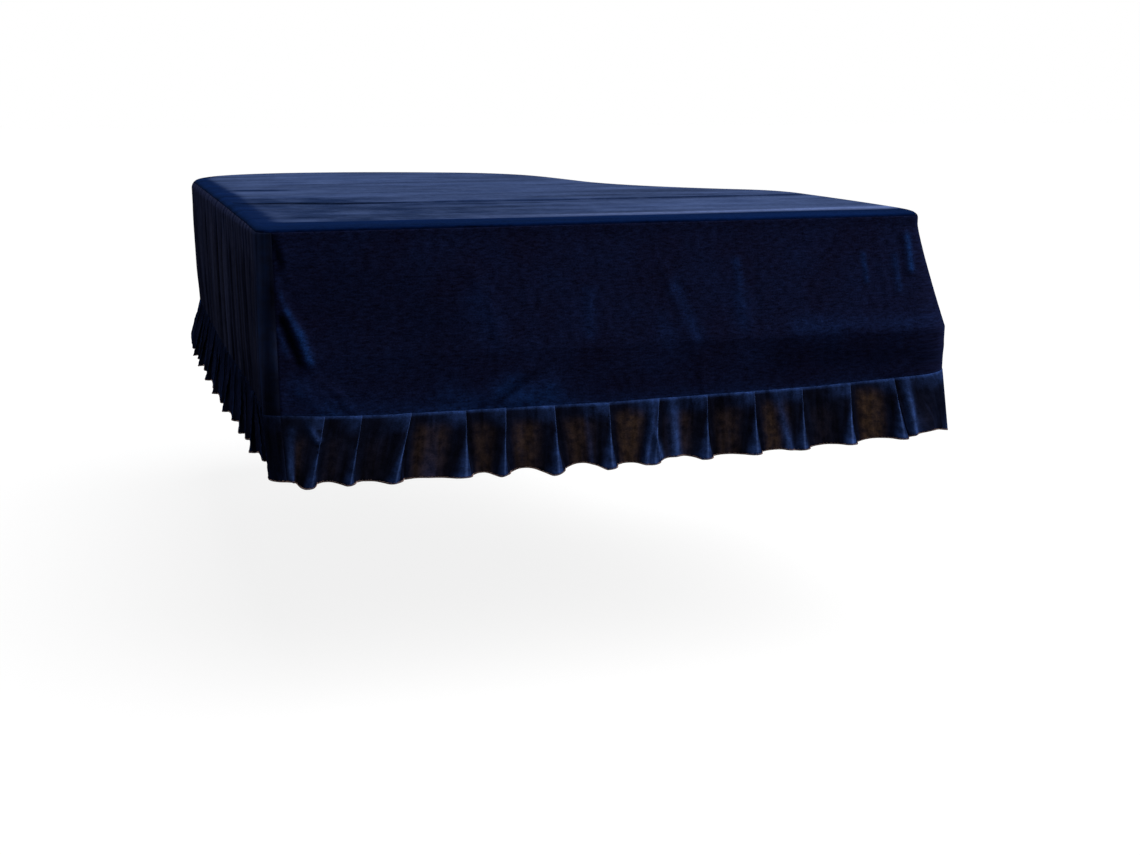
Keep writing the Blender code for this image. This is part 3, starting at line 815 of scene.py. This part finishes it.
def ruffle_marks(travelled, share, depth, pleat_reflection, ridges, tone):
    """Painted sheen in blue on the flares, the ridges and by the seam, painted highlights on the folded
    edges and a painted warm reflection on the flats.
    """
    # Painted sheen on the flare before each folded edge
    before_fold = smooth((travelled - (0.46 - 0.17 * share**1.3)) / (0.05 + 0.12 * share))
    behind_fold = smooth((0.66 - travelled) / 0.08)
    flare = before_fold * behind_fold * (0.10 + 0.90 * share) * np.clip(depth, 0.3, 1)
    # A painted highlight line on the folded edge, and painted sheen on the upper corner and by the seam
    line = hump(travelled - 0.50 - 0.02 * share, 0.020)
    corner = smooth((travelled - 0.14) / 0.24) * smooth((0.56 - travelled) / 0.05)
    corner = corner * smooth(1 - share / 0.32)
    seam = smooth(1 - share / 0.05)
    on_ridge = np.clip(ridges / RIDGE_FULL, 0, 1)
    painted_sheen_and_blue_pile = 0.75 * flare + 0.60 * line + (0.50 * corner + 0.60 * seam) * tone + 0.75 * on_ridge
    painted_sheen_and_blue_pile = painted_sheen_and_blue_pile * (FAINT_HIGHLIGHT + (1 - FAINT_HIGHLIGHT) * tone)
    # A painted warm reflection on the lower part of the flats
    down = smooth((share - 0.04 - 0.22 * np.clip(1 - pleat_reflection, 0, 1)) / 0.26)
    flat = smooth((travelled - 0.02) / 0.10) * smooth((0.32 - travelled) / 0.14) * down
    painted_shade_and_reflection = flat * pleat_reflection * (1 - on_ridge)
    # Painted highlights on the folded edges and the tops of the ridges
    light = 0.45 * line * tone + 0.10 * smooth((on_ridge - 0.6) / 0.4)
    return {"painted_sheen_and_blue_pile": np.clip(painted_sheen_and_blue_pile, 0, 1), "painted_shade_and_reflection": np.clip(painted_shade_and_reflection, 0, 1), "light": np.clip(light, 0, 1)}


def ruffle_relief(s, share, seed):
    """Small folds and wrinkles on a ruffle, and puckers along its seam."""
    down = RUFFLE_HEIGHT * share
    swell = smooth(share / 0.3)
    folds = waves("ruffle folds", s, down, seed) * swell + waves("wrinkles", s, down, seed) * swell
    return folds + waves("puckers", s, down, seed) * smooth(1 - share / 0.15) * smooth(share / 0.03)


def ridge_lines_by_share(x, share):
    """The ridges of the front ruffle: soft across, faded at the two ends of each."""
    total = np.zeros(np.broadcast(x, share).shape)
    for x1, share1, x2, share2, width, height in np.array(RUFFLE_RIDGES) / 1000:
        run = (share - share1) / (share2 - share1)
        side = x - x1 - (x2 - x1) * run
        faded = between(run, -0.15, 1.25, 0.25) * (0.35 + 0.65 * np.clip(run, 0, 1))
        total = total + height * faded * np.exp(-(side**2) / (2 * width**2))
    return total


def tube(path, radius, sides):
    """Points and faces of an open tube along a path."""
    along = np.gradient(path, axis=0)
    along /= np.linalg.norm(along, axis=1, keepdims=True) + 1e-12
    level = np.abs(along[:, 2:3]) < 0.9
    reference = np.where(level, (0.0, 0.0, 1.0), (1.0, 0.0, 0.0))
    across = np.cross(along, reference)
    across /= np.linalg.norm(across, axis=1, keepdims=True)
    other = np.cross(along, across)
    angle = 2 * math.pi * np.arange(sides) / sides
    ring = across[:, None] * np.cos(angle)[None, :, None] + other[:, None] * np.sin(angle)[None, :, None]
    points = (path[:, None] + radius * ring).reshape(-1, 3)
    i = np.arange(len(path) - 1)[:, None] * sides
    k = np.arange(sides)[None, :]
    after = (k + 1) % sides
    faces = np.stack([i + k, i + after, i + sides + after, i + sides + k], axis=-1).reshape(-1, 4)
    return points, faces


def add_overlock(name, grid, material):
    """Thread that is looped over the hem, stitch by stitch."""
    hem = grid[-1]
    run = running(np.linalg.norm(np.diff(hem, axis=0), axis=1))
    count = int(run[-1] / STITCH)
    legs = np.linspace(0, run[-1], 4 * count + 1)
    at_hem = at_run(legs, run, hem)
    up = at_run(legs, run, grid[-2] - hem)
    up /= np.linalg.norm(up, axis=1, keepdims=True)
    along = np.gradient(at_hem, axis=0)
    outward = np.cross(along, up)
    outward /= np.linalg.norm(outward, axis=1, keepdims=True) + 1e-12
    phase = np.arange(len(legs)) % 4
    raised = np.array((STITCH_HEIGHT, -THREAD, STITCH_HEIGHT, -THREAD))[phase][:, None]
    middle = -0.5 * RUFFLE_VELVET
    face = np.array((THREAD, middle, -RUFFLE_VELVET - THREAD, middle))[phase][:, None]
    path = at_hem + up * raised + outward * face
    points, faces = tube(path, THREAD, THREAD_SIDES)
    piece = add_mesh(name, points, faces, material)
    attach(piece, "root")
    return piece


def top_grid(outline):
    """The flat part of the top as x and y, stretched between its four inset sides, and the sides' running
    lengths in a ring."""
    corner_left = 0.5 * (outline.places["left corner"] - outline.length)
    corner_right = 0.5 * (outline.places["front right"] + outline.places["right corner"])
    corner_tail = 0.5 * (outline.places["tail right"] + outline.places["tail shoulder"])
    corner_back = outline.places["tail left"]
    before_left = outline.length + corner_left
    across = np.linspace(0, 1, TOP_COLUMNS)
    down = np.array([0.0])
    for (begin, _), (stop, rows) in zip(TOP_ROWS, TOP_ROWS[1:]):
        down = np.append(down, np.linspace(begin, stop, rows + 1)[1:])
    front = corner_left + across * (corner_right - corner_left)
    tail = corner_back + across * (corner_tail - corner_back)
    right = corner_right + down * (corner_tail - corner_right)
    left = before_left - down * (before_left - corner_back)
    sides = []
    for s in (front, right, tail, left):
        sides.append(outline.at(s) - outline.outward(s) * outline.value(SHOULDER, s)[:, None])
    u = across[None, :, None]
    w = down[:, None, None]
    level = (1 - w) * sides[0][None] + w * sides[2][None]
    level = level + (1 - u) * sides[3][:, None] + u * sides[1][:, None]
    front_corners = (1 - u) * sides[0][0] + u * sides[0][-1]
    tail_corners = (1 - u) * sides[2][0] + u * sides[2][-1]
    ring = np.concatenate([front, right[1:], tail[-2::-1], left[-2:0:-1]])
    return level - (1 - w) * front_corners - w * tail_corners, ring


def groove_y(x):
    """Where the groove runs across the top."""
    return np.interp(x, [place[0] for place in GROOVE], [place[1] for place in GROOVE])


def top_sag(x, y, from_edge):
    """How far the flat cloth of the top lies below its highest level."""
    behind = y - groove_y(x)
    groove = GROOVE_DEPTH * hump(behind, GROOVE_WIDTH)
    lip = LIP_DEPTH * hump(behind + LIP_BEFORE, LIP_WIDTH)
    short = -ridge_lines([SHORT_CREASE], x, y)
    uneven = groove + lip + short + waves("top", x, y, level=1) + waves("top crush", x, y, level=1)
    bend = FRONT_BEND * np.clip(1 - y / FRONT_BEND_REACH, 0, 1) ** 2
    return uneven * smooth(from_edge / TOP_EDGE_FADE) + bend + TOP_SINKS


def top_marks(x, y, from_left):
    """Painted sheen near the top's left and front edges, painted shade and random streaks that darken it and
    blacken its groove, and a painted highlight line.
    """
    band = FRONT_BAND_LEFT + (FRONT_BAND_RIGHT - FRONT_BAND_LEFT) * smooth((x - 0.1) / 0.9)
    streaks = waves("top streaks", x, y)
    # Painted sheen: a blue band along the left and front edges
    painted_sheen_and_blue_pile = (BAND_SHEEN + streaks) * smooth(1.18 - from_left / LEFT_BAND)
    painted_sheen_and_blue_pile = np.clip(painted_sheen_and_blue_pile + smooth((band + 0.5 * BAND_EDGE - y) / BAND_EDGE), 0, 1)
    # Painted shade: the flap before the groove, darker towards the left, and a patch behind the groove on
    # the left
    flap = smooth((0.74 - y) / 0.06) * (1 - 0.90 * smooth((x - 0.15) / 1.0))
    patch = PATCH_SHADE * smooth((1.10 - y) / 0.30) * smooth((0.55 - x) / 0.40) * smooth((y - 0.70) / 0.06)
    # A painted highlight line behind the blue band, and painted shade just behind the groove
    light_line = hump(y - band - LINE_BEHIND, LINE_WIDTH) * smooth((x - 0.3) / 0.6)
    in_groove = hump(y - groove_y(x) - SHADE_BEHIND, SHADE_WIDTH)
    darker = TOP_DARK - 0.15 * smooth((x - 0.8) / 0.4) + 0.55 * (flap + patch) - 0.50 * light_line
    # Painted shade along the short crease
    round_crease = 1.2 * ridge_lines([SHORT_CREASE_SHADE], x, y)
    darker = np.clip(darker + in_groove + streaks + round_crease, 0, DARKEST)
    light = (0.45 + 0.20 * hump(x - 0.95, 0.20)) * light_line
    # Near-black painted shade in the groove towards the left
    deep = GROOVE_SHADE * in_groove * smooth((0.75 - x) / 0.5)
    return FULL_SHEEN * painted_sheen_and_blue_pile, darker * (1 - painted_sheen_and_blue_pile), light * (1 - painted_sheen_and_blue_pile), deep


def add_top(outline, material):
    """The flat top with its groove and crease, and the rolled edge all round it."""
    flat, edge = top_grid(outline)
    rows, columns = flat.shape[:2]
    sides = (flat[:, :1], flat[:, -1:], flat[:1], flat[-1:])
    from_sides = [np.linalg.norm(flat - side, axis=-1) for side in sides]
    x = flat[..., 0]
    y = flat[..., 1]
    drop = top_sag(x, y, np.minimum.reduce(from_sides))
    points = [in_part_frame(flat, drop).reshape(-1, 3)]
    cloth = [flat.reshape(-1, 2)]
    faces = [grid_faces(rows, columns)[:, ::-1]]
    numbers = np.arange(rows * columns).reshape(rows, columns)
    ring = np.concatenate([numbers[0], numbers[1:, -1], numbers[-1, -2::-1], numbers[-2:0:-1, 0]])
    radius = outline.value(SHOULDER, edge)
    centre = outline.at(edge)
    out = outline.outward(edge)
    below = rows * columns
    count = len(edge)
    painted_sheen_and_blue_pile, darker, light, deep = top_marks(x, y, from_sides[0])
    deep = [deep.ravel()]
    seam_angle = np.arccos((radius - TOP_SEAM_DROP + SEAM_GAP) / radius)
    from_sag = drop.ravel()[ring]
    for step in range(1, SHOULDER_STEPS + 1):
        angle = seam_angle * step / SHOULDER_STEPS
        plan = centre - out * (radius * (1 - np.sin(angle)))[:, None]
        to_seam = TOP_SEAM_DROP - SEAM_GAP - from_sag
        sunk = from_sag + to_seam * (1 - np.cos(angle)) / (1 - np.cos(seam_angle))
        points.append(in_part_frame(plan, sunk))
        cloth.append(plan + out * sunk[:, None])
        # Painted shade on the lower part of the rolled edge
        deep.append(ROLL_SHADE * smooth((sunk - ROLL_SHADE_FROM) / ROLL_SHADE_REACH))
        now = below + (step - 1) * count + np.arange(count)
        faces.append(np.stack([ring, now, np.roll(now, -1), np.roll(ring, -1)], axis=-1))
        ring = now
    points = np.concatenate(points)
    on_roll = len(points) - below
    # The rolled edge is painted with full sheen all round
    marks = {
        "painted_sheen_and_blue_pile": np.append(painted_sheen_and_blue_pile, np.full(on_roll, FULL_SHEEN)),
        "painted_shade_and_reflection": np.append(darker, np.zeros(on_roll)),
        "light": np.append(light, np.zeros(on_roll)),
        "deep": np.concatenate(deep),
    }
    piece = add_mesh("top_velvet", points, np.concatenate(faces), material, np.concatenate(cloth), marks)
    give_thickness(piece, VELVET)
    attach(piece, "root")
    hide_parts("top_panel")
    return piece


class Shading:
    """A material's node tree, with short ways to add and link its nodes."""

    def __init__(self, name):
        self.material = bpy.data.materials.new(name)
        self.material.use_nodes = True
        self.tree = self.material.node_tree
        self.inputs = self.tree.nodes["Principled BSDF"].inputs

    def add(self, kind, values=None, **settings):
        node = self.tree.nodes.new(kind)
        for key, value in settings.items():
            setattr(node, key, value)
        for key, value in (values or {}).items():
            self.put(value, node.inputs[key])
        return node

    def put(self, value, socket):
        """A link to the socket from another, or a value of its own."""
        if isinstance(value, bpy.types.NodeSocket):
            self.tree.links.new(value, socket)
        else:
            socket.default_value = value

    def finish(self, values):
        """The material, with values or links on the sockets of its shader."""
        for name, value in values.items():
            self.put(value, self.inputs[name])
        return self.material

    def mark(self, name):
        """A value that the mesh carries at its points."""
        return self.add("ShaderNodeAttribute", attribute_name=name).outputs["Fac"]

    def noise(self, place, scale, size, detail):
        """Noise on a place, squeezed by scale."""
        mapping = self.add("ShaderNodeMapping", {"Vector": place, "Scale": scale})
        values = {"Vector": mapping.outputs["Vector"], "Scale": size, "Detail": detail}
        values["Roughness"] = 0.55
        return self.add("ShaderNodeTexNoise", values).outputs["Fac"]

    def remap(self, value, low, high, to_low, to_high):
        values = {"Value": value, "From Min": low, "From Max": high, "To Min": to_low, "To Max": to_high}
        return self.add("ShaderNodeMapRange", values, clamp=True).outputs["Result"]

    def math(self, operation, a, b):
        node = self.add("ShaderNodeMath", {0: a, 1: b}, operation=operation, use_clamp=True)
        return node.outputs["Value"]

    def mix(self, factor, a, b):
        return self.add("ShaderNodeMix", {0: factor, 6: a, 7: b}, data_type="RGBA").outputs[2]

    def bump(self, strength, distance, height, below=None):
        values = {"Strength": strength, "Distance": distance, "Height": height}
        if below is not None:
            values["Normal"] = below
        return self.add("ShaderNodeBump", values).outputs["Normal"]


def make_velvet(name, look):
    """Velvet: a dark pile with a blue sheen, random patches, streaks along the drop and a fine pile; its
    marks paint sheen, highlights, shade and a warm reflection.
    """
    tree = Shading(name + " velvet")
    place = tree.add("ShaderNodeUVMap", uv_map="cloth").outputs["UV"]
    patches = tree.noise(place, (1, 1, 1), *PATCHES)
    streaks = tree.noise(place, look["streaks"], *STREAKS)
    crush = tree.noise(place, (1, 1, 1), *CRUSH)
    fine = tree.noise(place, (1, 1.6, 1), *GRAIN)
    pile = tree.noise(place, (1, 1, 1), *PILE)
    patchy = tree.remap(patches, 0.35, 0.75, 0.0, 0.5)
    tone = tree.math("ADD", patchy, tree.remap(streaks, 0.3, 0.8, 0.0, 0.5))
    # The blue mark: painted sheen and highlights, and bluer pile
    sheen_and_blue_share = tree.math("MULTIPLY", tree.mark("painted_sheen_and_blue_pile"), tree.remap(crush, 0.3, 0.7, 0.45, 1.0))
    sheen_and_blue_share = tree.math("ADD", sheen_and_blue_share, tree.math("MULTIPLY", tone, look["clouds"]))
    patchy = tree.remap(patches, 0.35, 0.65, 0.55, 1.0)
    # The brown mark: painted shade on the top and skirts, a painted warm reflection on the ruffle's flats
    shade_and_reflection_share = tree.math("MULTIPLY", tree.mark("painted_shade_and_reflection"), patchy)
    blotches = tree.remap(crush, 0.35, 0.60, look.get("blotch", 1.0), 1.0)
    shade_and_reflection_share = tree.math("MULTIPLY", shade_and_reflection_share, blotches)
    colour = tree.mix(sheen_and_blue_share, rgba(look["dark"]), rgba(look["painted_sheen_and_blue_pile"]))
    colour = tree.mix(shade_and_reflection_share, colour, rgba(look["painted_shade_and_reflection"]))
    # The light mark: painted highlights
    if "light" in look:
        colour = tree.mix(tree.mark("light"), colour, rgba(look["light"]))
    shade = tree.remap(streaks, 0.30, 0.70, look["streak_depth"], 0.0)
    shade = tree.math("ADD", shade, tree.remap(crush, 0.30, 0.70, 0.22, 0.0))
    shade = tree.math("ADD", shade, tree.remap(fine, 0.36, 0.64, look.get("grain", 0.0), 0.0))
    # The deep mark: painted shade in the top's groove and under its rolled edge
    shade = tree.math("ADD", shade, tree.mark("deep"))
    colour = tree.mix(shade, colour, (0.0, 0.0, 0.0, 1.0))
    crushed = tree.math("MULTIPLY", crush, 0.6)
    height = tree.math("ADD", crushed, tree.math("MULTIPLY", streaks, 0.4))
    folds = tree.bump(0.35, 0.0022, height)
    sheen, sheen_roughness, tint = look["sheen"]
    tree.material.diffuse_color = rgba(look["painted_sheen_and_blue_pile"])
    return tree.finish(
        {
            "Base Color": colour,
            "Roughness": tree.remap(patches, 0.3, 0.7, 0.80, 0.95),
            "Normal": tree.bump(0.30, 0.0004, pile, folds),
            "Specular IOR Level": 0.0,
            "Sheen Weight": sheen,
            "Sheen Roughness": sheen_roughness,
            "Sheen Tint": rgba(tint),
        }
    )


def make_thread():
    """Pinkish beige sewing thread with a twist."""
    tree = Shading("overlock thread")
    place = tree.add("ShaderNodeTexCoord").outputs["Object"]
    twist = tree.noise(place, (1, 1, 1), *TWIST)
    colour = tree.mix(twist, (0.28, 0.16, 0.14, 1.0), (0.58, 0.41, 0.36, 1.0))
    return tree.finish({"Base Color": colour, "Normal": tree.bump(0.3, 0.0002, twist), "Roughness": 0.7})


def add_object(name, data):
    """An object of the data, in the scene."""
    item = bpy.data.objects.new(name, data)
    bpy.context.scene.collection.objects.link(item)
    return item


def add_camera():
    """The photograph's view."""
    data = bpy.data.cameras.new("camera")
    data.lens = CAMERA_LENS
    data.sensor_width = CAMERA_SENSOR
    data.clip_end = CAMERA_SEES
    camera = add_object("camera", data)
    forward = Vector(CAMERA_FORWARD).normalized()
    right = forward.cross(Vector((0, 0, 1))).normalized()
    up = right.cross(forward)
    turned = Matrix((right, up, -forward)).transposed().to_4x4()
    camera.matrix_world = Matrix.Translation(CAMERA_PLACE) @ turned
    bpy.context.scene.camera = camera


def add_lights():
    """A wide soft light from above and area lights round the cover."""
    sun = bpy.data.lights.new("overhead", "SUN")
    sun.energy = SUN_STRENGTH
    sun.angle = math.radians(SUN_WIDTH)
    add_object("overhead", sun).rotation_euler = Vector(SUN_FROM).to_track_quat("Z", "Y").to_euler()
    for name, place, aim, size, watts, colour in AREA_LIGHTS:
        data = bpy.data.lights.new(name, "AREA")
        data.shape = "RECTANGLE"
        data.size, data.size_y = size
        data.energy = watts
        data.color = colour
        light = add_object(name, data)
        light.location = place
        light.rotation_euler = (Vector(aim) - Vector(place)).to_track_quat("-Z", "Y").to_euler()


def add_floor():
    """A plain pale floor that glows a little and throws no light on the cloth."""
    corners = np.array([(-1, -1), (1, -1), (1, 1), (-1, 1)]) * FLOOR_REACH
    points = np.column_stack([corners, np.full(4, SHEET - TOP_ABOVE_FLOOR)])
    material = Shading("pale floor").finish(FLOOR_LOOK)
    floor = add_mesh("floor", points, np.array([[0, 1, 2, 3]]), material)
    floor.visible_diffuse = False
    floor.visible_glossy = False


def add_world():
    """A pale world that is seen white and lights the cloth faintly."""
    world = bpy.data.worlds.new("pale studio")
    world.use_nodes = True
    nodes = world.node_tree.nodes
    links = world.node_tree.links
    ray = nodes.new("ShaderNodeLightPath")
    mix = nodes.new("ShaderNodeMixShader")
    links.new(ray.outputs["Is Camera Ray"], mix.inputs["Fac"])
    backgrounds = (nodes["Background"], nodes.new("ShaderNodeBackground"))
    for i, (background, (colour, strength)) in enumerate(zip(backgrounds, (WORLD_LIGHT, WORLD_SEEN))):
        background.inputs["Color"].default_value = rgba(colour)
        background.inputs["Strength"].default_value = strength
        links.new(background.outputs["Background"], mix.inputs[i + 1])
    links.new(mix.outputs["Shader"], nodes["World Output"].inputs["Surface"])
    bpy.context.scene.world = world


def main():
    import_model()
    outline = Outline()
    add_camera()
    velvets = {name: make_velvet(name, look) for name, look in VELVETS.items()}
    thread = make_thread()
    top = add_top(outline, velvets["top"])
    for panel in PANELS:
        name = panel[0]
        add_skirt(outline, panel, velvets.get(name + " skirt", velvets["skirt"]))
        ruffle, grid, cloth_width = add_ruffle(outline, panel, velvets["ruffle"])
        hem = add_overlock("hem_thread_" + name, grid, thread)
    add_floor()
    add_world()
    add_lights()
    bpy.context.scene.view_settings.view_transform = "Standard"


main()
